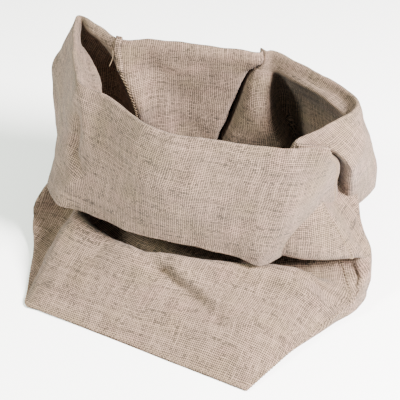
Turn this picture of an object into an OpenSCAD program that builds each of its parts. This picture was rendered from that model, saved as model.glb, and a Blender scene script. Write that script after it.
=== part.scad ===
// Sack race bag: an open jute sack that stands on its folded base, with its
// mouth turned down outside into a wide cuff. Two woven panels are sewn
// together with jute twine along both sides and the bottom.
//
// The cloth is drawn as closed rings of control points, from the bottom seam
// up to the rim and down again to the mouth's edge. Each ring has one point
// on each of the same columns, in this order round the sack:
//   left seam, left back, left peak, left ear, left hollow, front left ridge,
//   front left, front dip, front middle, front right, right seam,
//   pleat inside, right front, right corner, right back, fold right,
//   fold left, slit, slit lip, back middle, back left.

/* [Cloth] */
// Thickness of the woven jute
cloth_t = 1.5; // [1:0.1:2]
// Half of the gap between the wall and the cuff just under the rim
rim_gap = 6; // [4:0.5:9]
// How far below the rim the cloth has finished turning over
rim_drop = 12; // [9:1:18]
// Gap between the two panels where they are sewn together
seam_gap = 0.4; // [0.2:0.1:1]

/* [Size] */
// Size of the whole sack, where 1 is sewn from cloth 600 mm wide
size = 1; // [0.8:0.05:1.2]

/* [Stitches] */
// Distance between the stitches of a seam
stitch_pitch = 10; // [6:1:25]
// How far each stitch reaches over the cloth on either side of the seam
stitch_reach = 5; // [3:0.5:8]
// Thickness of the jute twine
twine_d = 1.6; // [1:0.1:2.5]

/* [Seam end] */
// Width of the seam's bound end where it crosses the rim
tab_w = 10; // [8:1:14]
// Thickness of that bound end: two allowances and their twine
tab_t = 2.4; // [2:0.1:3]
// Length of the twine's loose tail beside it
tail_l = 24; // [12:1:40]

/* [Mesh] */
// Steps between two columns
column_steps = 3; // [2:1:4]
// Steps between two rings
ring_steps = 3; // [2:1:4]

/* [Hidden] */

jute = [0.76, 0.69, 0.62];
jute_shade = [0.69, 0.63, 0.56];
twine = [0.82, 0.76, 0.64];

left_seam = 0;
right_seam = 10;
columns = 21;
// Height of the middle of the cloth where it lies on the floor
floor_z = cloth_t / 2;
// How far inside the back wall its cloth leaves the floor
heel = 14;
// How far inside the bottom edge its stitches pass through both panels
bottom_margin = 4;
// Gap between the bound seam end and the cloth it lies on
tab_gap = 0.2;
// How much thicker a side seam's stitch is than the cloth it wraps
stitch_over = 0.5;
// Height of the bottom seam's stitches through both panels
bar_h = 4;
// The twine's loose tail: thickness, distance in from the wall and from the
// seam, and its lean
tail_d = 1.2;
tail_in = 5;
tail_aside = 8;
tail_lean = [14, 6, 0];

// The bottom seam on the floor: along the left side to the front left corner,
// then along the front. The back panel ends on the same line.
seam = [
  [-225, 180, 3], [-233, 135, 3], [-240, 90, 3], [-249, 20, 3], [-250, -46, 3],
  [-248, -72, 3], [-224, -83, 3], [-125, -129, 3], [-45, -168, 3], [15, -197, 3],
  [61, -219, 3], [22, -200, 0], [-22, -179, 0], [-70, -156, 0], [-130, -127, 0],
  [-190, -98, 0], [-236, -74, 0], [-247, -50, 0], [-250, -15, 0], [-249, 30, 0],
  [-238, 105, 0]];
// Lower part of the front slope, and the middle of the back panel's flat base.
low = [
  [-208, 190, 24], [-228, 155, 28], [-240, 100, 28], [-252, 62, 22], [-218, 50, 16],
  [-229, -38, 28], [-184, -72, 28], [-95, -101, 30], [-5, -132, 30], [72, -150, 28],
  [112, -168, 8], [108, -134, 0], [100, -95, 0], [90, -55, 0], [50, -15, 0], [0, 10, 0],
  [-50, 30, 0], [-75, 45, 0], [-95, 60, 0], [-130, 85, 0], [-175, 140, 0]];
// Upper part of the front slope, and just above the line where the back panel
// leaves the floor.
middle = [
  [-182, 192, 50], [-212, 165, 56], [-228, 112, 58], [-252, 90, 44], [-192, 92, 36],
  [-203, 0, 62], [-158, -40, 55], [-72, -74, 58], [38, -96, 55], [125, -108, 45],
  [168, -116, 14], [195, -98, 8], [226, -72, 8], [240, -30, 8], [215, 75, 8], [140, 145, 8],
  [60, 155, 8], [30, 158, 8], [5, 158, 8], [-55, 168, 8], [-115, 184, 8]];
// Top of the lower part, where the cloth starts to fold in under the cuff.
ledge = [
  [-152, 186, 78], [-194, 170, 84], [-216, 126, 86], [-226, 106, 80], [-180, 104, 64],
  [-174, 38, 78], [-128, -8, 73], [-66, -44, 82], [62, -62, 77], [150, -68, 69],
  [205, -84, 26], [224, -62, 38], [238, -42, 50], [240, -10, 56], [206, 85, 60],
  [130, 148, 65], [50, 158, 65], [20, 163, 65], [-5, 162, 65], [-50, 168, 68],
  [-92, 178, 70]];
// Bottom of the fold under the cuff.
crease = [
  [-122, 172, 98], [-176, 168, 104], [-205, 122, 108], [-204, 86, 106], [-176, 100, 88],
  [-160, 66, 34], [-118, 18, 24], [-54, -22, 34], [62, -42, 40], [148, -50, 38],
  [203, -46, 42], [224, -42, 60], [234, -26, 66], [232, 0, 74], [192, 98, 85],
  [126, 146, 90], [44, 150, 90], [22, 160, 90], [2, 154, 90], [-40, 162, 92],
  [-76, 170, 94]];
// The upper part's own bulge above that fold.
bulge = [
  [-84, 164, 124], [-140, 174, 128], [-196, 135, 130], [-196, 94, 128], [-180, 68, 122],
  [-156, 52, 118], [-112, 8, 115], [-40, -28, 112], [50, -50, 106], [148, -66, 93],
  [208, -56, 88], [228, -44, 84], [234, -28, 88], [219, 4, 98], [150, 158, 116],
  [128, 116, 122], [42, 134, 120], [28, 164, 120], [16, 145, 120], [-20, 148, 120],
  [-55, 140, 122]];
// Halfway up the wall behind the cuff.
wall = [
  [-92, 118, 203], [-124, 190, 206], [-184, 190, 212], [-182, 128, 206], [-175, 76, 202],
  [-158, 46, 200], [-118, 20, 198], [-50, -36, 190], [42, -52, 186], [112, -54, 182],
  [158, -36, 178], [160, 2, 180], [176, 26, 186], [212, 52, 194], [131, 153, 198],
  [95, 117, 200], [60, 126, 200], [50, 168, 198], [40, 133, 198], [-24, 142, 200],
  [-60, 132, 203]];
// The throat, where the wall draws in below the rim.
throat = [
  [-108, 126, 262], [-129, 187, 262], [-174, 193, 268], [-150, 134, 276], [-134, 90, 272],
  [-128, 54, 267], [-106, 32, 262], [-52, -34, 250], [40, -50, 245], [112, -57, 242],
  [160, -48, 238], [136, -30, 238], [166, -2, 242], [202, 38, 244], [124, 130, 246],
  [93, 123, 258], [72, 130, 256], [64, 160, 256], [58, 132, 256], [-18, 136, 256],
  [-68, 139, 258]];
// Top line of the rim, where the cloth turns over.
rim = [
  [-110, 150, 305], [-148, 178, 310], [-176, 193, 313], [-170, 128, 310], [-163, 84, 307],
  [-155, 46, 304], [-120, 26, 299], [-56, -34, 289], [37, -53, 285], [110, -62, 282],
  [160, -57, 279], [120, -44, 279], [164, -14, 283], [204, 28, 287], [156, 84, 291],
  [106, 133, 297], [90, 136, 297], [83, 144, 296], [76, 133, 296], [-14, 142, 301],
  [-66, 146, 303]];
// Halfway down the cuff.
cuff = [
  [-128, 198, 205], [-170, 209, 208], [-215, 196, 222], [-203, 140, 205], [-198, 88, 195],
  [-178, 38, 195], [-138, 4, 192], [-66, -50, 185], [38, -68, 182], [114, -78, 180],
  [182, -17, 174], [188, 28, 178], [204, -12, 184], [238, 42, 196], [204, 138, 205],
  [136, 180, 205], [92, 178, 203], [80, 179, 202], [66, 178, 202], [-24, 168, 203],
  [-80, 172, 204]];
// Lower edge of the cuff: the sack's mouth.
mouth = [
  [-128, 196, 105], [-180, 208, 108], [-214, 188, 110], [-214, 125, 112], [-224, 70, 114],
  [-202, 26, 108], [-162, 14, 106], [-82, -36, 108], [42, -64, 99], [94, -70, 86],
  [192, 4, 114], [186, 38, 118], [212, 22, 108], [254, 58, 120], [224, 142, 118],
  [142, 184, 112], [76, 186, 108], [60, 186, 108], [44, 186, 108], [-36, 184, 106],
  [-84, 186, 105]];

// Points of three more rings, with their column numbers. Their other points lie
// halfway between the rings on both sides. First the back of the deep fold under
// the cuff.
pit = [
  [5, [-142, 104, 46]], [6, [-98, 74, 40]], [7, [-38, 28, 46]], [8, [62, -8, 52]],
  [9, [144, -4, 54]], [10, [196, -20, 58]]];
// Just below the rim at the right, where the wall leans in before it falls back.
brow = [
  [13, [190, 20, 268]], [14, [124, 102, 270]]];
// High on the cuff at the right end of its front, where it is pleated in.
collar = [
  [10, [178, -42, 232]], [11, [174, 4, 232]], [12, [193, -34, 236]]];

// Numbers of the rings that the seam's bound end runs between.
throat_ring = 9;
rim_ring = 12;

function unit(v) = v / norm(v);
function at(ring, c) = ring[(c + columns) % columns];
function outward(ring, c) =
  let (d = at(ring, c + 1) - at(ring, c - 1)) unit([d[1], -d[0], 0]);
// The cloth beside the rim: side is -1 for the wall and 1 for the cuff.
function beside(ring, side) = [for (c = [0:columns - 1])
  ring[c] + side * rim_gap * outward(ring, c) - [0, 0, rim_drop]];
// The heel of the wall: on the floor under the back panel, on the slope in front.
function on_floor(c) =
  let (run = middle[c] - low[c])
  c <= right_seam ? low[c] + run / 2 : low[c] + run * (1 - heel / norm(run));
heels = [for (c = [0:columns - 1])
  let (p = on_floor(c)) c <= right_seam ? p : [p[0], p[1], 0]];

// The ring halfway between two others, but for the columns with their own point.
function own_point(points, c) = [for (p = points) if (p[0] == c) p[1]];
function between(a, b, points) = [for (c = [0:columns - 1])
  let (own = own_point(points, c)) len(own) == 1 ? own[0] : (a[c] + b[c]) / 2];

inner_rim = beside(rim, -1);
outer_rim = beside(rim, 1);
rings = [seam, low, heels, middle, ledge, crease, between(crease, bulge, pit), bulge,
         wall, throat, between(throat, inner_rim, brow), inner_rim, rim, outer_rim,
         between(outer_rim, cuff, collar), cuff, mouth];
ring_count = len(rings);

// A smooth curve through b and c, with a and d as their neighbours.
function through(a, b, c, d, t) =
  (2 * b + (c - a) * t + (2 * a - 5 * b + 4 * c - d) * t * t
   + (3 * b - a - 3 * c + d) * t * t * t) / 2;
function round_ring(ring) = [for (c = [0:columns - 1]) for (k = [0:column_steps - 1])
  through(at(ring, c - 1), at(ring, c), at(ring, c + 1), at(ring, c + 2),
          k / column_steps)];
function row_between(r, t) =
  let (a = round_rings[max(r - 1, 0)], b = round_rings[r],
       c = round_rings[min(r + 1, ring_count - 1)],
       d = round_rings[min(r + 2, ring_count - 1)])
  [for (j = [0:len(b) - 1])
    let (p = through(a[j], b[j], c[j], d[j], t)) [p[0], p[1], max(p[2], floor_z)]];

round_rings = [for (ring = rings) round_ring(ring)];
cloth = [for (r = [0:ring_count - 2]) for (k = [0:ring_steps - 1])
           row_between(r, k / ring_steps), row_between(ring_count - 2, 1)];
rows = len(cloth);
around = columns * column_steps;

function cloth_at(i, j) = cloth[i][(j + around) % around];
function along_row(i, j) = unit(cloth_at(i, j + 1) - cloth_at(i, j - 1));
function up_column(i, j) =
  unit(cloth_at(min(i + 1, rows - 1), j) - cloth_at(max(i - 1, 0), j));
// Points from the sack's outside to its inside through the cloth.
function inside(i, j) = unit(cross(up_column(i, j), along_row(i, j)));

// Middle of the cloth of one panel, held back from the seams by half a gap.
function panel_rows(first, last) = [for (i = [0:rows - 1]) [for (j = [first:last])
  cloth_at(i, j) + (j == first ? 1 : j == last ? -1 : 0) * seam_gap / 2 * along_row(i, j)]];
function face(i, j, across, side) = (side * rows + i) * across + j;
function skin(across, side) = [for (i = [0:rows - 2]) for (j = [0:across - 2])
  let (a = face(i, j, across, side), b = face(i, j + 1, across, side),
       c = face(i + 1, j + 1, across, side), d = face(i + 1, j, across, side))
  each (side == 0 ? [[a, b, c], [a, c, d]] : [[a, c, b], [a, d, c]])];
function edge_strip(a, b, c, d) = [[a, c, b], [b, c, d]];
function edges(across) = concat(
  [for (i = [0:rows - 2]) each edge_strip(
    face(i, 0, across, 0), face(i, 0, across, 1),
    face(i + 1, 0, across, 0), face(i + 1, 0, across, 1))],
  [for (i = [0:rows - 2]) each edge_strip(
    face(i + 1, across - 1, across, 0), face(i + 1, across - 1, across, 1),
    face(i, across - 1, across, 0), face(i, across - 1, across, 1))],
  [for (j = [0:across - 2]) each edge_strip(
    face(0, j + 1, across, 0), face(0, j + 1, across, 1),
    face(0, j, across, 0), face(0, j, across, 1))],
  [for (j = [0:across - 2]) each edge_strip(
    face(rows - 1, j, across, 0), face(rows - 1, j, across, 1),
    face(rows - 1, j + 1, across, 0), face(rows - 1, j + 1, across, 1))]);

function skin_points(first, last) =
  let (middle_rows = panel_rows(first, last))
  [for (side = [-0.5, 0.5]) for (i = [0:rows - 1]) for (j = [first:last])
    middle_rows[i][j - first] + side * cloth_t * inside(i, j)];

front_points = skin_points(left_seam, right_seam * column_steps);
back_points = skin_points(right_seam * column_steps, around);
// Middle of the sack's outline in plan, which goes on the Z axis.
function mid_range(v) = (min(v) + max(v)) / 2;
centre = [for (k = [0, 1]) mid_range([for (p = concat(front_points, back_points)) p[k]])];

// Puts a piece at the sack's size, with the middle of its base on the origin.
module standing() {
  scale(size) translate([-centre[0], -centre[1], 0]) children();
}

module panel(points, across) {
  standing()
    polyhedron(points, concat(skin(across, 0), skin(across, 1), edges(across)));
}

module front_panel() {
  color(jute) panel(front_points, right_seam * column_steps + 1);
}
module back_panel() {
  color(jute_shade) panel(back_points, around - right_seam * column_steps + 1);
}

function seam_column(c) = [for (i = [0:rows - 1]) cloth_at(i, c * column_steps)];
function bottom_line() = [for (j = [0:right_seam * column_steps]) cloth[0][j]];
function lengths(path, i = 0, sum = 0) = i == len(path) ? [] :
  let (s = sum + (i == 0 ? 0 : norm(path[i] - path[i - 1])))
  concat([s], lengths(path, i + 1, s));
// Where stitch number n sits on a path: its segment and its share of it.
function stitch_seat(run, n) =
  let (s = (n + 0.5) * stitch_pitch, i = max([for (k = [0:len(run) - 2]) run[k] <= s ? k : 0]))
  [i, (s - run[i]) / (run[i + 1] - run[i])];
function stitch_count(run) = floor(run[len(run) - 1] / stitch_pitch - 0.5);

// Draws its children at p with their x, y and z along three square directions.
module placed(p, x, y, z) {
  multmatrix([[x[0], y[0], z[0], p[0]], [x[1], y[1], z[1], p[1]],
              [x[2], y[2], z[2], p[2]], [0, 0, 0, 1]]) children();
}
module bar(l, w, h) { cube([l, w, h], center = true); }

// One leg of a stitch, from the seam over the cloth of the panel beside it.
module stitch_leg(p, up, over) {
  x = unit(over - (over * up) * up);
  placed(p, x, up, cross(x, up))
    translate([stitch_reach / 2, 0, 0]) bar(stitch_reach, twine_d, cloth_t + stitch_over);
}
// Stitches up a seam, laid in turn over the panels on its two sides.
module side_seam(c) {
  path = seam_column(c);
  run = lengths(path);
  standing() for (n = [1:stitch_count(run)]) {
    seat = stitch_seat(run, n);
    i = seat[0];
    up = unit(path[i + 1] - path[i]);
    p = path[i] + seat[1] * (path[i + 1] - path[i]);
    side = n % 2 == 0 ? 1 : -1;
    stitch_leg(p, up, cloth_at(i, c * column_steps + side) - path[i]);
  }
}
// The loose tail of the left seam's twine, hanging down inside the wall.
module twine_tail() {
  i = throat_ring * ring_steps;
  p = cloth_at(i, left_seam) + tail_in * inside(i, left_seam)
    - tail_aside * along_row(i, left_seam);
  standing() translate(p) rotate(tail_lean) cylinder(h = tail_l, d = tail_d, center = true);
}
// Bars through both panels just inside the bottom edge.
module bottom_seam() {
  path = bottom_line();
  run = lengths(path);
  standing() for (n = [0:stitch_count(run)]) {
    seat = stitch_seat(run, n);
    a = path[seat[0]];
    d = unit(path[seat[0] + 1] - a);
    p = a + seat[1] * (path[seat[0] + 1] - a) + bottom_margin * [-d[1], d[0], 0];
    placed([p[0], p[1], floor_z + bar_h / 2], d, [-d[1], d[0], 0], [0, 0, 1])
      bar(twine_d, twine_d, bar_h);
  }
}
// The bound end of the left seam's allowances: inside the wall and over the rim.
module bound_end() {
  first = throat_ring * ring_steps;
  last = rim_ring * ring_steps;
  points = [for (i = [first:last]) for (k = [[-1, 0], [1, 0], [1, 1], [-1, 1]])
    cloth_at(i, left_seam) + k[0] * tab_w / 2 * along_row(i, left_seam)
    + (cloth_t / 2 + tab_gap + k[1] * tab_t) * inside(i, left_seam)];
  count = last - first;
  standing() polyhedron(points, concat([[0, 1, 2, 3]],
    [for (i = [0:count - 1]) for (k = [0:3])
      each [[4 * i + k, 4 * i + 4 + k, 4 * i + (k + 1) % 4],
            [4 * i + (k + 1) % 4, 4 * i + 4 + k, 4 * i + 4 + (k + 1) % 4]]],
    [[for (k = [3:-1:0]) 4 * count + k]]));
}

module left_seam_twine() {
  color(twine) {
    side_seam(left_seam);
    twine_tail();
  }
}
module right_seam_twine() {
  color(twine) side_seam(right_seam);
}
module bottom_seam_twine() {
  color(twine) bottom_seam();
}
module left_seam_tab() {
  color(jute) bound_end();
}

front_panel();
back_panel();
left_seam_twine();
right_seam_twine();
bottom_seam_twine();
left_seam_tab();
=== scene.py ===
"""Looks of an open jute sack that stands with its mouth turned down into a wide cuff."""

import math
import random

import bpy
import numpy as np
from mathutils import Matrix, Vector, noise


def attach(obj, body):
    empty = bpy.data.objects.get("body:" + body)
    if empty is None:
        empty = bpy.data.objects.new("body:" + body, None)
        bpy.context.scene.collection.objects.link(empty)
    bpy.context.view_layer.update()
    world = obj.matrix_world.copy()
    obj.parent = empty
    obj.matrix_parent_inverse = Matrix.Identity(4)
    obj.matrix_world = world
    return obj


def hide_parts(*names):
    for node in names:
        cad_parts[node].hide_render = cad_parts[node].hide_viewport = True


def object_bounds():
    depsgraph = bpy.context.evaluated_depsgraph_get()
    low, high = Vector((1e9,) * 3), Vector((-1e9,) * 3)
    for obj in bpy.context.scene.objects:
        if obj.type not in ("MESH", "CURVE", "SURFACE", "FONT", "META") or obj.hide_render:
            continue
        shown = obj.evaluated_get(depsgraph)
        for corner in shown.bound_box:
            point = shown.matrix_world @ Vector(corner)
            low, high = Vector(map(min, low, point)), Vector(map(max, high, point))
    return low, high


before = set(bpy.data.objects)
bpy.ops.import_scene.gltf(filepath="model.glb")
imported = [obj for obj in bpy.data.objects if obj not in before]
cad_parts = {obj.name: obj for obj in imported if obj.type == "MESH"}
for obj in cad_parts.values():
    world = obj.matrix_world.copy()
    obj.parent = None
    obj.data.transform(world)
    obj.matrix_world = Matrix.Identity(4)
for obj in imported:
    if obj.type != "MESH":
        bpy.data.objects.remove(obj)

CAD_LO, CAD_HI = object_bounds()
MM = 0.001

# ---------------------------------------------------------------- the cloth's net
# The same net as the CAD panels': closed rings of points in millimetres, from the
# bottom seam up to the rim and down again to the mouth, with the same columns in each.
RIM_GAP = 6
RIM_DROP = 12
HEEL = 14
CLOTH_T = 1.3
FLOOR_Z = 0.9
LEFT_SEAM = 0
RIGHT_SEAM = 10
SEAM = [
    (-225, 180, 3), (-233, 135, 3), (-240, 90, 3), (-249, 20, 3), (-250, -46, 3),
    (-248, -72, 3), (-224, -83, 3), (-125, -129, 3), (-45, -168, 3), (15, -197, 3),
    (61, -219, 3), (22, -200, 0), (-22, -179, 0), (-70, -156, 0), (-130, -127, 0),
    (-190, -98, 0), (-236, -74, 0), (-247, -50, 0), (-250, -15, 0), (-249, 30, 0),
    (-238, 105, 0)]
LOW = [
    (-208, 190, 24), (-228, 155, 28), (-240, 100, 28), (-252, 62, 22), (-218, 50, 16),
    (-229, -38, 28), (-184, -72, 28), (-95, -101, 30), (-5, -132, 30), (72, -150, 28),
    (112, -168, 8), (108, -134, 0), (100, -95, 0), (90, -55, 0), (50, -15, 0),
    (0, 10, 0), (-50, 30, 0), (-75, 45, 0), (-95, 60, 0), (-130, 85, 0),
    (-175, 140, 0)]
MIDDLE = [
    (-182, 192, 50), (-212, 165, 56), (-228, 112, 58), (-252, 90, 44), (-192, 92, 36),
    (-203, 0, 62), (-158, -40, 55), (-72, -74, 58), (38, -96, 55), (125, -108, 45),
    (168, -116, 14), (195, -98, 8), (226, -72, 8), (240, -30, 8), (215, 75, 8),
    (140, 145, 8), (60, 155, 8), (30, 158, 8), (5, 158, 8), (-55, 168, 8),
    (-115, 184, 8)]
LEDGE = [
    (-152, 186, 78), (-194, 170, 84), (-216, 126, 86), (-226, 106, 80), (-180, 104, 64),
    (-174, 38, 78), (-128, -8, 73), (-66, -44, 82), (62, -62, 77), (150, -68, 69),
    (205, -84, 26), (224, -62, 38), (238, -42, 50), (240, -10, 56), (206, 85, 60),
    (130, 148, 65), (50, 158, 65), (20, 163, 65), (-5, 162, 65), (-50, 168, 68),
    (-92, 178, 70)]
CREASE = [
    (-122, 172, 98), (-176, 168, 104), (-205, 122, 108), (-204, 86, 106),
    (-176, 100, 88), (-160, 66, 34), (-118, 18, 24), (-54, -22, 34), (62, -42, 40),
    (148, -50, 38), (203, -46, 42), (224, -42, 60), (234, -26, 66), (232, 0, 74),
    (192, 98, 85), (126, 146, 90), (44, 150, 90), (22, 160, 90), (2, 154, 90),
    (-40, 162, 92), (-76, 170, 94)]
# The back of the deep fold under the cuff, where it opens to the front.
PIT = {5: (-142, 104, 46), 6: (-98, 74, 40), 7: (-38, 28, 46), 8: (62, -8, 52),
       9: (144, -4, 54), 10: (196, -20, 58)}
BULGE = [
    (-84, 164, 124), (-140, 174, 128), (-196, 135, 130), (-196, 94, 128),
    (-180, 68, 122), (-156, 52, 118), (-112, 8, 115), (-40, -28, 112), (50, -50, 106),
    (148, -66, 93), (208, -56, 88), (228, -44, 84), (234, -28, 88), (219, 4, 98),
    (150, 158, 116), (128, 116, 122), (42, 134, 120), (28, 164, 120), (16, 145, 120),
    (-20, 148, 120), (-55, 140, 122)]
WALL = [
    (-92, 118, 203), (-124, 190, 206), (-184, 190, 212), (-182, 128, 206),
    (-175, 76, 202), (-158, 46, 200), (-118, 20, 198), (-50, -36, 190), (42, -52, 186),
    (112, -54, 182), (158, -36, 178), (160, 2, 180), (176, 26, 186), (212, 52, 194),
    (131, 153, 198), (95, 117, 200), (60, 126, 200), (50, 168, 198), (40, 133, 198),
    (-24, 142, 200), (-60, 132, 203)]
THROAT = [
    (-108, 126, 262), (-129, 187, 262), (-174, 193, 268), (-150, 134, 276),
    (-134, 90, 272), (-128, 54, 267), (-106, 32, 262), (-52, -34, 250), (40, -50, 245),
    (112, -57, 242), (160, -48, 238), (136, -30, 238), (166, -2, 242), (202, 38, 244),
    (124, 130, 246), (93, 123, 258), (72, 130, 256), (64, 160, 256), (58, 132, 256),
    (-18, 136, 256), (-68, 139, 258)]
# Just below the rim at the right, where the wall leans in before it falls back.
BROW = {13: (190, 20, 268), 14: (124, 102, 270)}
RIM = [
    (-110, 150, 305), (-148, 178, 310), (-176, 193, 313), (-170, 128, 310),
    (-163, 84, 307), (-155, 46, 304), (-120, 26, 299), (-56, -34, 289), (37, -53, 285),
    (110, -62, 282), (160, -57, 279), (120, -44, 279), (164, -14, 283), (204, 28, 287),
    (156, 84, 291), (106, 133, 297), (90, 136, 297), (83, 144, 296), (76, 133, 296),
    (-14, 142, 301), (-66, 146, 303)]
# A quarter down the cuff at the right end of the front, where it is pleated in.
COLLAR = {10: (178, -42, 232), 11: (174, 4, 232), 12: (193, -34, 236)}
CUFF = [
    (-128, 198, 205), (-170, 209, 208), (-215, 196, 222), (-203, 140, 205),
    (-198, 88, 195), (-178, 38, 195), (-138, 4, 192), (-66, -50, 185), (38, -68, 182),
    (114, -78, 180), (182, -17, 174), (188, 28, 178), (204, -12, 184), (238, 42, 196),
    (204, 138, 205), (136, 180, 205), (92, 178, 203), (80, 179, 202), (66, 178, 202),
    (-24, 168, 203), (-80, 172, 204)]
MOUTH = [
    (-128, 196, 105), (-180, 208, 108), (-214, 188, 110), (-214, 125, 112),
    (-224, 70, 114), (-202, 26, 108), (-162, 14, 106), (-82, -36, 108), (42, -64, 99),
    (94, -70, 86), (192, 4, 114), (186, 38, 118), (212, 22, 108), (254, 58, 120),
    (224, 142, 118), (142, 184, 112), (76, 186, 108), (60, 186, 108), (44, 186, 108),
    (-36, 184, 106), (-84, 186, 105)]
# Names of the rings, in order, as row numbers of the net.
(AT_SEAM, AT_LOW, AT_HEEL, AT_MIDDLE, AT_LEDGE, AT_CREASE, AT_PIT, AT_BULGE, AT_WALL,
 AT_THROAT, AT_BROW, AT_INNER_RIM, AT_RIM, AT_OUTER_RIM, AT_COLLAR, AT_CUFF, AT_MOUTH) = range(17)


def unit(v):
    """Vectors along the last axis, made one long."""
    return v / np.maximum(np.linalg.norm(v, axis=-1, keepdims=True), 1e-12)


def beside(rim, side):
    """The ring just below the rim on the wall's side (-1) or the cuff's (1)."""
    d = np.roll(rim, -1, 0) - np.roll(rim, 1, 0)
    outward = unit(np.stack([d[:, 1], -d[:, 0], 0 * d[:, 0]], -1))
    return rim + side * RIM_GAP * outward - (0, 0, RIM_DROP)


def heel_ring(low, middle):
    """Where the wall leaves the floor, and the middle of the front slope."""
    run = middle - low
    long = np.linalg.norm(run, axis=1, keepdims=True)
    ring = low + run * (1 - HEEL / long)
    ring[:, 2] = 0
    front = slice(LEFT_SEAM, RIGHT_SEAM + 1)
    ring[front] = (low + run / 2)[front]
    return ring


def between(ring, following, special):
    """The ring halfway between two others, but for the columns that have their own point."""
    middle = (ring + following) / 2
    for column, point in special.items():
        middle[column] = point
    return middle


def make_net():
    seam, low, middle, ledge, crease, bulge, wall, throat, rim, cuff, mouth = [
        np.array(r, float) for r in
        (SEAM, LOW, MIDDLE, LEDGE, CREASE, BULGE, WALL, THROAT, RIM, CUFF, MOUTH)]
    inner, outer = beside(rim, -1), beside(rim, 1)
    return np.stack([
        seam, low, heel_ring(low, middle), middle, ledge, crease,
        between(crease, bulge, PIT), bulge, wall, throat,
        between(throat, inner, BROW), inner, rim, outer,
        between(outer, cuff, COLLAR), cuff, mouth])


def curve_weights(t):
    """Shares of four neighbouring points in a smooth curve through the middle two."""
    return ((-t + 2 * t**2 - t**3) / 2, (2 - 5 * t**2 + 3 * t**3) / 2,
            (t + 4 * t**2 - 3 * t**3) / 2, (-t**2 + t**3) / 2)


def loft(net, us, vs):
    """Points of the cloth: us runs round the rings and vs from ring to ring."""
    count = net.shape[1]
    c = np.floor(us).astype(int)
    rings = sum(w[None, :, None] * net[:, (c + k - 1) % count]
                for k, w in enumerate(curve_weights(us - c)))
    last = net.shape[0] - 1
    r = np.minimum(np.floor(vs).astype(int), last - 1)
    points = sum(w[:, None, None] * rings[np.clip(r + k - 1, 0, last)]
                 for k, w in enumerate(curve_weights(vs - r)))
    points[..., 2] = np.maximum(points[..., 2], FLOOR_Z)
    return points


def spread(lengths, cell):
    """Numbers from 0 up, split so that each whole step has cells of about one size."""
    out = []
    for i, length in enumerate(lengths):
        n = max(3, round(length / cell))
        out += [i + k / n for k in range(n)]
    return out


NET = make_net()
CELL = 3.4
COLUMNS = NET.shape[1]
round_steps = np.linalg.norm(np.roll(NET, -1, 1) - NET, axis=2)
up_steps = np.linalg.norm(NET[1:] - NET[:-1], axis=2)
US = np.array(spread(round_steps.mean(0), CELL))
VS = np.array(spread(up_steps.mean(1), CELL) + [float(NET.shape[0] - 1)])


def normals_of(points):
    """Directions that point from the sack's outside to its inside."""
    along = np.roll(points, -1, 1) - np.roll(points, 1, 1)
    up = np.gradient(points, axis=0)
    return unit(np.cross(up, along))


# ---------------------------------------------------------------- wrinkles and dents
# Blender's vector noise takes its offsets from the clock unless it has a seed.
WRINKLE_SEED = 3
# Size, height and offset of the soft rumples, the small puckers and the finest ones.
RUMPLES = ((85, 4.2, 3.1), (30, 1.8, 7.7), (12, 0.5, 12.3))
# The cloth lies firm up to FIRM_Z above the floor and is all loose LOOSE_RISE higher.
FIRM_Z = 2
LOOSE_RISE = 25
LEAST_LOOSE = 0.12
# How a fold fades out at the ends of its line.
LINE_END = 0.06
TAPER_POWER = 0.6


def noise_field(points, size, offset):
    """A smooth vector field of about unit size, the same for layers that lie close."""
    flat = points.reshape(-1, 3) / size + offset
    return np.array([noise.noise_vector(p) for p in flat]).reshape(points.shape)


def near_line(points, line, width):
    """1 on the line, falling smoothly to 0 away from it."""
    best = np.full(points.shape[:2], 1e9)
    ends = np.zeros(points.shape[:2])
    total = len(line) - 1
    for i, (a, b) in enumerate(zip(line[:-1], line[1:])):
        d = b - a
        t = np.clip(((points - a) @ d) / (d @ d), 0, 1)
        away = np.linalg.norm(points - a - t[..., None] * d, axis=2)
        closer = away < best
        best = np.where(closer, away, best)
        ends = np.where(closer, (i + t) / total, ends)
    taper = np.sin(np.pi * np.clip(ends, LINE_END, 1 - LINE_END)) ** TAPER_POWER
    return np.exp(-((best / width) ** 2)) * taper


# Valleys have a positive depth, towards the sack's inside, and ridges a negative one.
# Each has its name, the rings and the columns that it stays between, the points of its
# line, and its width and depth. Points, widths and depths are in millimetres.
DENTS = [
    ("slope valley", (1, 5), (5, 10),
     [(-82, -44, 81), (-44, -72, 67), (-9, -98, 50), (22, -124, 38)], 10, 12),
    ("slope ridge", (1, 5), (5, 10),
     [(-56, -51, 82), (-20, -75, 67), (6, -92, 55), (30, -108, 48)], 11, -7),
    ("short crease", (1, 5), (5, 10),
     [(-71, -64, 69), (-55, -67, 70), (-36, -61, 78)], 4.5, 5),
    ("facet ridge", (1, 5), (7, 12),
     [(99, -67, 76), (136, -91, 57), (160, -96, 43), (180, -99, 27)], 9, -7),
    ("facet hollow", (1, 5), (8, 13),
     [(150, -70, 62), (172, -78, 50), (190, -84, 36)], 13, 11),
    ("right roll", (1, 6), (8, 13),
     [(180, -99, 27), (210, -79, 27), (224, -59, 41), (232, -48, 50)], 8, -5),
    ("ear crease", (1, 6), (8, 13),
     [(214, -44, 50), (221, -56, 44), (214, -74, 29)], 5, 7),
    ("left cuff valley", (12, 16), (2, 7),
     [(-162, 39, 274), (-167, 36, 235), (-173, 34, 202), (-166, 21, 177)], 9, -9),
    ("left cuff fold", (12, 16), (3, 7),
     [(-196, 31, 133), (-172, 21, 160), (-140, 6, 198)], 9, 6),
]


def between_ends(numbers, ends):
    return (numbers >= ends[0]) & (numbers <= ends[1])


def dented(points, normals):
    """The cloth with its single folds pressed in or out along their lines."""
    out = points.copy()
    for _, rings, columns, line, width, depth in DENTS:
        inside = between_ends(VS, rings)[:, None] & between_ends(US, columns)[None, :]
        share = near_line(points, np.array(line, float), width) * inside
        out += normals * (share * depth)[..., None]
    return out


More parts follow.
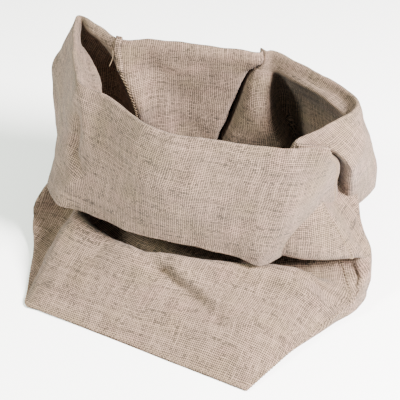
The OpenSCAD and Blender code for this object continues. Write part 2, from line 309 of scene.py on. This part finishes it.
def wrinkled(points):
    """The cloth with rumples of three sizes, less where it lies on the floor."""
    loose = np.clip((points[..., 2] - FIRM_Z) / LOOSE_RISE, LEAST_LOOSE, 1)[..., None]
    for size, height, offset in RUMPLES:
        points = points + loose * height * noise_field(points, size, offset)
    points[..., 2] = np.maximum(points[..., 2], FLOOR_Z)
    return points


noise.seed_set(WRINKLE_SEED)
CLOTH = loft(NET, US, VS)
CLOTH = dented(CLOTH, normals_of(CLOTH))
CLOTH = wrinkled(CLOTH)


# ---------------------------------------------------------------- flat pattern
RELAX_STEPS = 1500
RELAX_SHARE = 0.11
COARSE = 4  # steps between two rings or columns while the pattern relaxes


def lay_flat(points):
    """Flat coordinates in metres of a sheet, by letting its lengths relax in a plane."""
    du = np.linalg.norm(np.diff(points, axis=1), axis=2)
    dv = np.linalg.norm(np.diff(points, axis=0), axis=2)
    d1 = np.linalg.norm(points[1:, 1:] - points[:-1, :-1], axis=2)
    d2 = np.linalg.norm(points[1:, :-1] - points[:-1, 1:], axis=2)
    u = np.concatenate([[0], np.cumsum(du.max(0))])
    v = np.concatenate([[0], np.cumsum(dv.max(1))])
    flat = np.stack(np.broadcast_arrays(u[None, :], v[:, None]), -1).astype(float)
    pairs = [
        ((slice(None), slice(0, -1)), (slice(None), slice(1, None)), du),
        ((slice(0, -1), slice(None)), (slice(1, None), slice(None)), dv),
        ((slice(0, -1), slice(0, -1)), (slice(1, None), slice(1, None)), d1),
        ((slice(0, -1), slice(1, None)), (slice(1, None), slice(0, -1)), d2)]
    for _ in range(RELAX_STEPS):
        move = np.zeros_like(flat)
        for a, b, rest in pairs:
            d = flat[b] - flat[a]
            long = np.linalg.norm(d, axis=2)
            pull = d * (RELAX_SHARE * (long - rest) / np.maximum(long, 1e-6))[..., None]
            move[a] += pull
            move[b] -= pull
        flat += move
    return flat * MM


def widen(coarse, us_from, vs_from, us_to, vs_to):
    """Values on a coarse grid, read off between its points on a finer one."""
    rows = np.stack([
        np.stack([np.interp(us_to, us_from, row[:, k]) for k in (0, 1)], -1)
        for row in coarse])
    return np.stack([
        np.stack([np.interp(vs_to, vs_from, rows[:, j, k]) for k in (0, 1)], -1)
        for j in range(rows.shape[1])], axis=1)


def flat_map(first, last, us):
    """The flat pattern of the panel between two columns of the net."""
    top = NET.shape[0] - 1
    us_coarse = np.linspace(first, last, (last - first) * COARSE + 1)
    vs_coarse = np.linspace(0, top, top * COARSE + 1)
    return widen(lay_flat(loft(NET, us_coarse, vs_coarse)), us_coarse, vs_coarse, us, VS)


# ---------------------------------------------------------------- mesh making
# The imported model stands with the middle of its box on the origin.
cloth_lo, cloth_hi = CLOTH.reshape(-1, 3).min(0), CLOTH.reshape(-1, 3).max(0)
SHIFT = np.array([(CAD_LO[0] + CAD_HI[0]) / 2 - MM * (cloth_lo[0] + cloth_hi[0]) / 2,
                  (CAD_LO[1] + CAD_HI[1]) / 2 - MM * (cloth_lo[1] + cloth_hi[1]) / 2, 0])


def placed(points_mm):
    """Points of the net in the row frame, in metres."""
    return np.asarray(points_mm, float) * MM + SHIFT


def mesh_object(name, verts, faces, material, uvs=None):
    """A smooth-shaded mesh; uvs has one pair for each vertex."""
    mesh = bpy.data.meshes.new(name)
    mesh.from_pydata([tuple(v) for v in verts], [], faces)
    mesh.update()
    mesh.polygons.foreach_set("use_smooth", [True] * len(mesh.polygons))
    if uvs is not None:
        layer = mesh.uv_layers.new(name="cloth")
        index = np.zeros(len(mesh.loops), np.int32)
        mesh.loops.foreach_get("vertex_index", index)
        layer.data.foreach_set("uv", np.asarray(uvs, np.float32)[index].ravel())
    mesh.materials.append(material)
    obj = bpy.data.objects.new(name, mesh)
    bpy.context.scene.collection.objects.link(obj)
    return obj


def shell(name, points, normals, uv, thickness, material):
    """A closed sheet of cloth with two sides and a rim of edges between them."""
    rows, across = points.shape[:2]
    half = thickness / 2
    verts = np.concatenate([(points - half * normals).reshape(-1, 3),
                            (points + half * normals).reshape(-1, 3)])
    uvs = np.concatenate([uv.reshape(-1, 2)] * 2)
    grid = np.arange(rows * across).reshape(rows, across)
    top = rows * across
    a, b, c, d = grid[:-1, :-1], grid[:-1, 1:], grid[1:, 1:], grid[1:, :-1]
    outer = np.stack([a, b, c, d], -1).reshape(-1, 4)
    inner = np.stack([a, d, c, b], -1).reshape(-1, 4) + top
    border = np.concatenate([grid[0], grid[1:, -1], grid[-1, -2::-1], grid[-2:0:-1, 0]])
    following = np.roll(border, -1)
    edge = np.stack([following, border, border + top, following + top], -1)
    faces = np.concatenate([outer, inner, edge]).tolist()
    return mesh_object(name, placed(verts), faces, material, uvs)


# ---------------------------------------------------------------- materials
class Nodes:
    """Short names for building one material."""

    def __init__(self, name):
        self.material = bpy.data.materials.new(name)
        self.material.use_nodes = True
        self.tree = self.material.node_tree
        self.shader = self.tree.nodes["Principled BSDF"]

    def link(self, value, socket):
        if isinstance(value, bpy.types.NodeSocket):
            self.tree.links.new(value, socket)
        else:
            socket.default_value = value

    def math(self, op, *values):
        node = self.tree.nodes.new("ShaderNodeMath")
        node.operation = op
        for value, socket in zip(values, node.inputs):
            self.link(value, socket)
        return node.outputs[0]

    def noise(self, vector, scale, detail=2.0, rough=0.5, colour=False):
        node = self.tree.nodes.new("ShaderNodeTexNoise")
        self.link(vector, node.inputs["Vector"])
        self.link(scale, node.inputs["Scale"])
        self.link(detail, node.inputs["Detail"])
        self.link(rough, node.inputs["Roughness"])
        return node.outputs["Color" if colour else "Fac"]

    def white(self, vector):
        node = self.tree.nodes.new("ShaderNodeTexWhiteNoise")
        node.noise_dimensions = "3D"
        self.link(vector, node.inputs["Vector"])
        return node.outputs["Value"]

    def split(self, vector):
        node = self.tree.nodes.new("ShaderNodeSeparateXYZ")
        self.link(vector, node.inputs[0])
        return node.outputs

    def join(self, x, y, z=0.0):
        node = self.tree.nodes.new("ShaderNodeCombineXYZ")
        for value, socket in zip((x, y, z), node.inputs):
            self.link(value, socket)
        return node.outputs[0]

    def range(self, value, low, high, to_low=0.0, to_high=1.0):
        node = self.tree.nodes.new("ShaderNodeMapRange")
        node.interpolation_type = "SMOOTHSTEP"
        for v, socket in zip((value, low, high, to_low, to_high), node.inputs):
            self.link(v, socket)
        return node.outputs[0]

    def mix(self, share, a, b):
        node = self.tree.nodes.new("ShaderNodeMix")
        node.data_type = "RGBA"
        self.link(share, node.inputs["Factor"])
        for value, socket in ((a, node.inputs[6]), (b, node.inputs[7])):
            self.link(value if isinstance(value, bpy.types.NodeSocket)
                      else (*value, 1.0), socket)
        return node.outputs[2]

    def bump(self, height, distance, strength):
        node = self.tree.nodes.new("ShaderNodeBump")
        self.link(height, node.inputs["Height"])
        self.link(strength, node.inputs["Strength"])
        self.link(distance, node.inputs["Distance"])
        return node.outputs[0]


YARN = 0.0027  # distance between neighbouring yarns of the weave
PINKISH = (0.235, 0.135, 0.105)
OLIVE = (0.165, 0.12, 0.065)
DARK_FIBRE = (0.085, 0.06, 0.04)
DARK_YARN = (0.055, 0.04, 0.0275)
SLUB = (0.025, 0.015, 0.01)
# Near-black painted shade for the gaps between yarns, where the dark behind the cloth shows.
PAINTED_GAP_SHADE = (0.011, 0.0095, 0.0065)


def jute_cloth(name, colour, shade):
    """Coarse plain weave of uneven jute yarns, drawn in the cloth's flat coordinates."""
    n = Nodes(name)
    uv_node = n.tree.nodes.new("ShaderNodeUVMap")
    uv_node.uv_map = "cloth"
    cloth_uv = uv_node.outputs[0]
    u, v, _ = n.split(cloth_uv)
    drift = n.split(n.noise(cloth_uv, 38.0, 2.0, colour=True))
    s = n.math("ADD", n.math("DIVIDE", u, YARN), n.math("MULTIPLY", drift[0], 1.3))
    t = n.math("ADD", n.math("DIVIDE", v, YARN), n.math("MULTIPLY", drift[1], 1.3))
    warp_id, weft_id = n.math("FLOOR", s), n.math("FLOOR", t)
    # Each yarn's own tone, which also changes along its length.
    warp_tone = n.noise(n.join(n.math("MULTIPLY", warp_id, 7.31),
                               n.math("MULTIPLY", v, 14.0)), 1.0, 2.0)
    weft_tone = n.noise(n.join(n.math("MULTIPLY", u, 12.0),
                               n.math("MULTIPLY", weft_id, 5.17)), 1.0, 2.0)
    # Height of the two sets of yarns, one over the other by turns.
    odd = n.math("MULTIPLY", n.math("ADD", warp_id, weft_id), math.pi)
    over = n.math("COSINE", odd)
    round_warp = n.math("ABSOLUTE", n.math("SINE", n.math("MULTIPLY", s, math.pi)))
    round_weft = n.math("ABSOLUTE", n.math("SINE", n.math("MULTIPLY", t, math.pi)))
    swell = n.math("MULTIPLY", n.math("MULTIPLY", round_warp, round_weft), over)
    warp = n.math("MULTIPLY", round_warp, n.math("ADD", n.math("MULTIPLY", swell, 0.5), 0.5))
    weft = n.math("MULTIPLY", round_weft, n.math("SUBTRACT", 0.5, n.math("MULTIPLY", swell, 0.5)))
    height = n.math("MAXIMUM", warp, weft)
    on_top = n.range(n.math("SUBTRACT", warp, weft), -0.08, 0.08)
    # Painted shade: the real gaps between thin yarns are painted near-black, as the shade seen
    # through them, some more than others.
    cell = n.join(warp_id, weft_id)
    chance = n.white(cell)
    thin = n.math("MULTIPLY_ADD", n.math("ADD", warp_tone, weft_tone), -0.5, 1.0)
    thin = n.math("ADD", thin, n.math("MULTIPLY", chance, 0.35))
    gap_shade_mask = n.range(height, n.math("MULTIPLY", thin, 0.40), n.math("MULTIPLY", thin, 1.05), 1.0, 0.0)
    tone = n.math("ADD", n.math("MULTIPLY", warp_tone, on_top),
                  n.math("MULTIPLY", weft_tone, n.math("SUBTRACT", 1.0, on_top)))
    tone = n.math("ADD", tone, n.math("MULTIPLY_ADD", chance, 0.30, -0.15))
    fibre = n.noise(cloth_uv, 900.0, 3.0, 0.7)
    base = n.mix(n.range(tone, 0.25, 0.70), shade, colour)
    pink = n.noise(cloth_uv, 26.0, 2.0)
    olive = n.noise(n.join(n.math("ADD", u, 7.0), v), 17.0, 3.0)
    base = n.mix(n.range(pink, 0.45, 0.75, 0.0, 0.45), base, PINKISH)
    base = n.mix(n.range(olive, 0.42, 0.75, 0.0, 0.50), base, OLIVE)
    base = n.mix(n.range(fibre, 0.3, 0.7, 0.0, 0.25), base, DARK_FIBRE)
    # Rows of weft that are darker for a while, and small dark or rusty slubs.
    streak = n.noise(n.join(n.math("MULTIPLY", u, 11.0), n.math("MULTIPLY", weft_id, 3.7)), 1.0, 3.0)
    dark_row = n.math("MULTIPLY", n.range(streak, 0.52, 0.70), n.range(chance, 0.15, 0.7))
    base = n.mix(n.math("MULTIPLY", dark_row, 0.75), base, DARK_YARN)
    lone = n.math("MULTIPLY", n.range(chance, 0.90, 0.98), 0.55)
    base = n.mix(lone, base, DARK_YARN)
    speck = n.noise(n.join(n.math("MULTIPLY", u, 260.0), n.math("MULTIPLY", v, 420.0)), 1.0, 1.0)
    base = n.mix(n.range(speck, 0.74, 0.80, 0.0, 0.85), base, SLUB)
    # Painted shade: the yarn gaps take the near-black colour.
    base = n.mix(n.math("MULTIPLY", gap_shade_mask, 0.92), base, PAINTED_GAP_SHADE)
    n.link(base, n.shader.inputs["Base Color"])
    n.shader.inputs["Roughness"].default_value = 0.92
    n.shader.inputs["Specular IOR Level"].default_value = 0.1
    n.shader.inputs["Sheen Weight"].default_value = 0.05
    n.shader.inputs["Sheen Roughness"].default_value = 0.6
    n.shader.inputs["Sheen Tint"].default_value = (0.86, 0.88, 0.95, 1.0)
    relief = n.math("ADD", height, n.math("MULTIPLY", fibre, 0.35))
    bump = n.bump(relief, 0.0006, 0.8)
    n.link(bump, n.shader.inputs["Normal"])
    return n.material


def jute_twine(name, colour):
    """Two-ply jute twine; its colour is mottled with fine fibre noise and slower darker patches."""
    n = Nodes(name)
    coord = n.tree.nodes.new("ShaderNodeTexCoord").outputs["Object"]
    fibre = n.noise(coord, 700.0, 3.0, 0.7)
    slow = n.noise(coord, 60.0, 2.0)
    base = n.mix(n.range(fibre, 0.3, 0.7), tuple(c * 0.55 for c in colour), colour)
    base = n.mix(n.range(slow, 0.4, 0.7, 0.0, 0.5), base, tuple(c * 0.7 for c in colour))
    n.link(base, n.shader.inputs["Base Color"])
    n.shader.inputs["Roughness"].default_value = 0.9
    n.shader.inputs["Specular IOR Level"].default_value = 0.2
    n.link(n.bump(fibre, 0.0004, 0.7), n.shader.inputs["Normal"])
    return n.material


def plain(name, colour):
    n = Nodes(name)
    n.shader.inputs["Base Color"].default_value = (*colour, 1)
    n.shader.inputs["Roughness"].default_value = 0.9
    n.shader.inputs["Specular IOR Level"].default_value = 0.0
    return n.material


CLOTH_MATERIAL = jute_cloth("jute_cloth", (0.25, 0.165, 0.12), (0.165, 0.11, 0.078))
TWINE_MATERIAL = jute_twine("jute_twine", (0.22, 0.155, 0.10))


# ---------------------------------------------------------------- the two panels
SEAM_GAP = 0.4


def build_panel(node, first, last):
    """One woven panel between two columns of the net, in place of its CAD node."""
    chosen = np.flatnonzero((US >= first) & (US <= last))
    if last == COLUMNS:
        chosen = np.append(chosen, 0)
    points = CLOTH[:, chosen].copy()
    normals = normals_of(CLOTH)[:, chosen]
    points[:, 0] += SEAM_GAP / 2 * unit(points[:, 1] - points[:, 0])
    points[:, -1] += SEAM_GAP / 2 * unit(points[:, -2] - points[:, -1])
    us = np.append(US[chosen[:-1]], last)
    uv = flat_map(first, last, us)
    obj = shell(node + "_cloth", points, normals, uv, CLOTH_T, CLOTH_MATERIAL)
    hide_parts(node)
    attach(obj, "root")
    return obj


front = build_panel("front_panel", LEFT_SEAM, RIGHT_SEAM)
back = build_panel("back_panel", RIGHT_SEAM, COLUMNS)
NORMALS = normals_of(CLOTH)


# ---------------------------------------------------------------- twine
def on_cloth(column, row, lift):
    """The point at a column (in grid steps, past the last one round again) and a row."""
    j, i = math.floor(column), min(math.floor(row), len(VS) - 2)
    a, b = column - j, row - i
    count = len(US)
    total = 0
    for dj, di, w in ((0, 0, (1 - a) * (1 - b)), (1, 0, a * (1 - b)),
                      (0, 1, (1 - a) * b), (1, 1, a * b)):
        k = (j + dj) % count
        total = total + w * (CLOTH[i + di, k] + lift * NORMALS[i + di, k])
    return total


TUBE_SIDES = 6
END_SHARE = 0.35  # radius at a tube's ends, as a share of its own


class Tubes:
    """Collects round tubes into one mesh."""

    def __init__(self):
        self.verts, self.faces = [], []

    def add(self, path, radius):
        sides = TUBE_SIDES
        path = np.array(path, float)
        tangent = unit(np.gradient(path, axis=0))
        side = unit(np.cross(tangent[0], (0.31, 0.52, 0.79)))
        start = len(self.verts)
        for k, (p, t) in enumerate(zip(path, tangent)):
            side = unit(side - (side @ t) * t)
            other = np.cross(t, side)
            end = k in (0, len(path) - 1)
            r = radius * (END_SHARE if end else 1.0)
            for m in range(sides):
                angle = 2 * math.pi * m / sides
                self.verts.append(p + r * (math.cos(angle) * side + math.sin(angle) * other))
        for k in range(len(path) - 1):
            for m in range(sides):
                a = start + k * sides + m
                b = start + k * sides + (m + 1) % sides
                self.faces.append([a, b, b + sides, a + sides])
        last = start + (len(path) - 1) * sides
        self.faces.append([start + m for m in range(sides - 1, -1, -1)])
        self.faces.append([last + m for m in range(sides)])

    def build(self, name, material):
        return mesh_object(name, placed(self.verts), self.faces, material)


def walk(path, pitch, start):
    """Row numbers along a path of points, one every pitch millimetres."""
    run = np.concatenate([[0], np.cumsum(np.linalg.norm(np.diff(path, axis=0), axis=1))])
    at = np.arange(start, run[-1] - start, pitch)
    return np.interp(at, run, np.arange(len(path)))


def column_index(column):
    return int(np.argmin(abs(US - column)))


TWINE_R = 0.55
STITCH_REACH = 4.2
STITCH_PITCH = 5.0


def side_stitches(column, rng):
    """Slanting stitches over a side seam, on both faces of the cloth."""
    tubes = Tubes()
    j = column_index(column)
    path = CLOTH[:, j]
    for n, row in enumerate(walk(path, STITCH_PITCH, 4.0)):
        i = min(int(row), len(VS) - 2)
        step = np.linalg.norm(CLOTH[i, (j + 1) % len(US)] - CLOTH[i, j])
        rise = np.linalg.norm(CLOTH[i + 1, j] - CLOTH[i, j])
        reach = STITCH_REACH / step * rng.uniform(0.85, 1.1)
        slant = 0.3 * STITCH_PITCH / rise * rng.uniform(0.8, 1.2)
        for face in (-1, 1):
            points = []
            for t in np.linspace(-1, 1, 7):
                lift = face * (CLOTH_T / 2 + TWINE_R * (0.9 if abs(t) < 0.9 else -0.9))
                where = np.clip(row + slant * t * face, 0, len(VS) - 1.001)
                points.append(on_cloth(j + reach * t, where, lift))
            tubes.add(points, TWINE_R)
    return tubes


def bottom_stitches(rng):
    """Slanting stitches through both panels just inside the bottom edge."""
    tubes = Tubes()
    path = CLOTH[0, :column_index(RIGHT_SEAM) + 1]
    for column in walk(path, STITCH_PITCH, 5.0):
        j = min(int(column), len(path) - 2)
        step = np.linalg.norm(path[j + 1] - path[j])
        rise = np.linalg.norm(CLOTH[1, j] - CLOTH[0, j])
        points = []
        for t in np.linspace(0, 1, 7):
            low = t < 0.1 or t > 0.9
            lift = -(CLOTH_T / 2 + TWINE_R * (-0.9 if low else 0.8))
            points.append(on_cloth(column + (t - 0.5) * 3.2 / step,
                                   (0.6 + 5.2 * t) / rise, lift))
        points[0] = path[j] + (column - j) * (path[j + 1] - path[j]) - (0, 0, 0.8)
        tubes.add(points, TWINE_R * rng.uniform(0.9, 1.1))
    return tubes


TAIL_RING = AT_THROAT + 1.8


def twine_tail(tubes):
    """The loose end of the left seam's twine, beside the bound end of the seam."""
    i = float(np.interp(TAIL_RING, VS, np.arange(len(VS))))
    top = on_cloth(column_index(LEFT_SEAM) + 1.6, i, 3.0)
    points = []
    for t in np.linspace(0, 1, 12):
        sway = np.array([1.6 * math.sin(4.0 * t), -1.5 * t, 0])
        points.append(top + (-1.0 - 5.0 * t, -3.0 * t, -24.0 * t) + sway)
    tubes.add(points, TWINE_R)


def finish_twine(tubes, name, node):
    obj = tubes.build(name, TWINE_MATERIAL)
    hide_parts(node)
    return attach(obj, "root")


RNG = random.Random(11)
left = side_stitches(LEFT_SEAM, RNG)
twine_tail(left)
finish_twine(left, "left_seam_stitches", "left_seam_twine")
finish_twine(side_stitches(RIGHT_SEAM, RNG), "right_seam_stitches", "right_seam_twine")
finish_twine(bottom_stitches(RNG), "bottom_seam_stitches", "bottom_seam_twine")


# ---------------------------------------------------------------- the bound seam end
def bound_end():
    """The seam's allowances, folded to a narrow strip inside the rim, with its edge up."""
    j = column_index(LEFT_SEAM)
    rows = np.interp(np.linspace(AT_THROAT + 0.15, AT_RIM, 26), VS, np.arange(len(VS)))
    shape = [(-5.0, 0.9), (-4.4, 2.2), (-2.0, 2.9), (0.6, 2.5), (3.0, 3.0), (4.6, 2.1), (5.0, 0.9)]
    points = np.zeros((len(rows), len(shape), 3))
    for i, row in enumerate(rows):
        step = np.linalg.norm(CLOTH[int(row), (j + 1) % len(US)] - CLOTH[int(row), j])
        for k, (across, lift) in enumerate(shape):
            points[i, k] = on_cloth(j + across / step, row, lift)
    top = points[-1] + [(0, 0, 3.2)] * len(shape)
    points = np.concatenate([points, (points[-1:] + top[None]) / 2, top[None]])
    along = np.concatenate([[0], np.cumsum(np.linalg.norm(np.diff(points[:, 3], axis=0), axis=1))])
    uv = np.zeros(points.shape[:2] + (2,))
    uv[..., 0] = np.array([a for a, _ in shape]) * MM
    uv[..., 1] = along[:, None] * MM
    up = np.gradient(points, axis=0)
    side = np.gradient(points, axis=1)
    normals = unit(np.cross(up, side))
    obj = shell("left_seam_bound_end", points, normals, uv, 0.9, CLOTH_MATERIAL)
    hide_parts("left_seam_tab")
    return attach(obj, "root")


bound_end()


# ---------------------------------------------------------------- floor, light, camera
ELEVATION = 42  # of the camera over the floor, in degrees
DISTANCE = 1.25
LOOK_HEIGHT = 0.14
LENS = 81.45
FLOOR_HALF = 12.0
LIGHT_TARGET = (0, 0, 0.12)
# Name, place, size in metres, power in watts and colour.
LIGHTS = [
    ("key", (1.45, -0.95, 1.63), 0.7, 490, (1.0, 0.96, 0.95)),
    ("fill", (-1.55, -0.51, 1.59), 0.5, 80, (0.93, 1.0, 0.89)),
]


def look_at(obj, target):
    obj.rotation_mode = "QUATERNION"
    obj.rotation_quaternion = (Vector(target) - obj.location).to_track_quat("-Z", "Y")


def area_light(name, place, size, power, colour):
    data = bpy.data.lights.new(name, "AREA")
    data.shape = "DISK"
    data.size = size
    data.energy = power
    data.color = colour
    obj = bpy.data.objects.new(name, data)
    obj.location = place
    bpy.context.scene.collection.objects.link(obj)
    look_at(obj, LIGHT_TARGET)


def build_floor():
    mesh = bpy.data.meshes.new("floor")
    w = FLOOR_HALF
    mesh.from_pydata([(-w, -w, 0), (w, -w, 0), (w, w, 0), (-w, w, 0)], [], [(0, 1, 2, 3)])
    mesh.materials.append(plain("floor", (0.95, 0.95, 0.95)))
    floor = bpy.data.objects.new("floor", mesh)
    bpy.context.scene.collection.objects.link(floor)


def build_world():
    world = bpy.data.worlds.new("studio")
    world.use_nodes = True
    background = world.node_tree.nodes["Background"]
    background.inputs["Color"].default_value = (0.94, 1.0, 0.92, 1)
    background.inputs["Strength"].default_value = 1.1
    bpy.context.scene.world = world


def build_camera():
    elevation = math.radians(ELEVATION)
    back_way = Vector((0, -math.cos(elevation), math.sin(elevation)))
    target = Vector(SHIFT) + Vector((0, 0, LOOK_HEIGHT))
    data = bpy.data.cameras.new("camera")
    data.lens = LENS
    data.sensor_width = 36
    camera = bpy.data.objects.new("camera", data)
    camera.location = target + DISTANCE * back_way
    bpy.context.scene.collection.objects.link(camera)
    look_at(camera, target)
    bpy.context.scene.camera = camera


build_floor()
build_world()
for light in LIGHTS:
    area_light(*light)
build_camera()
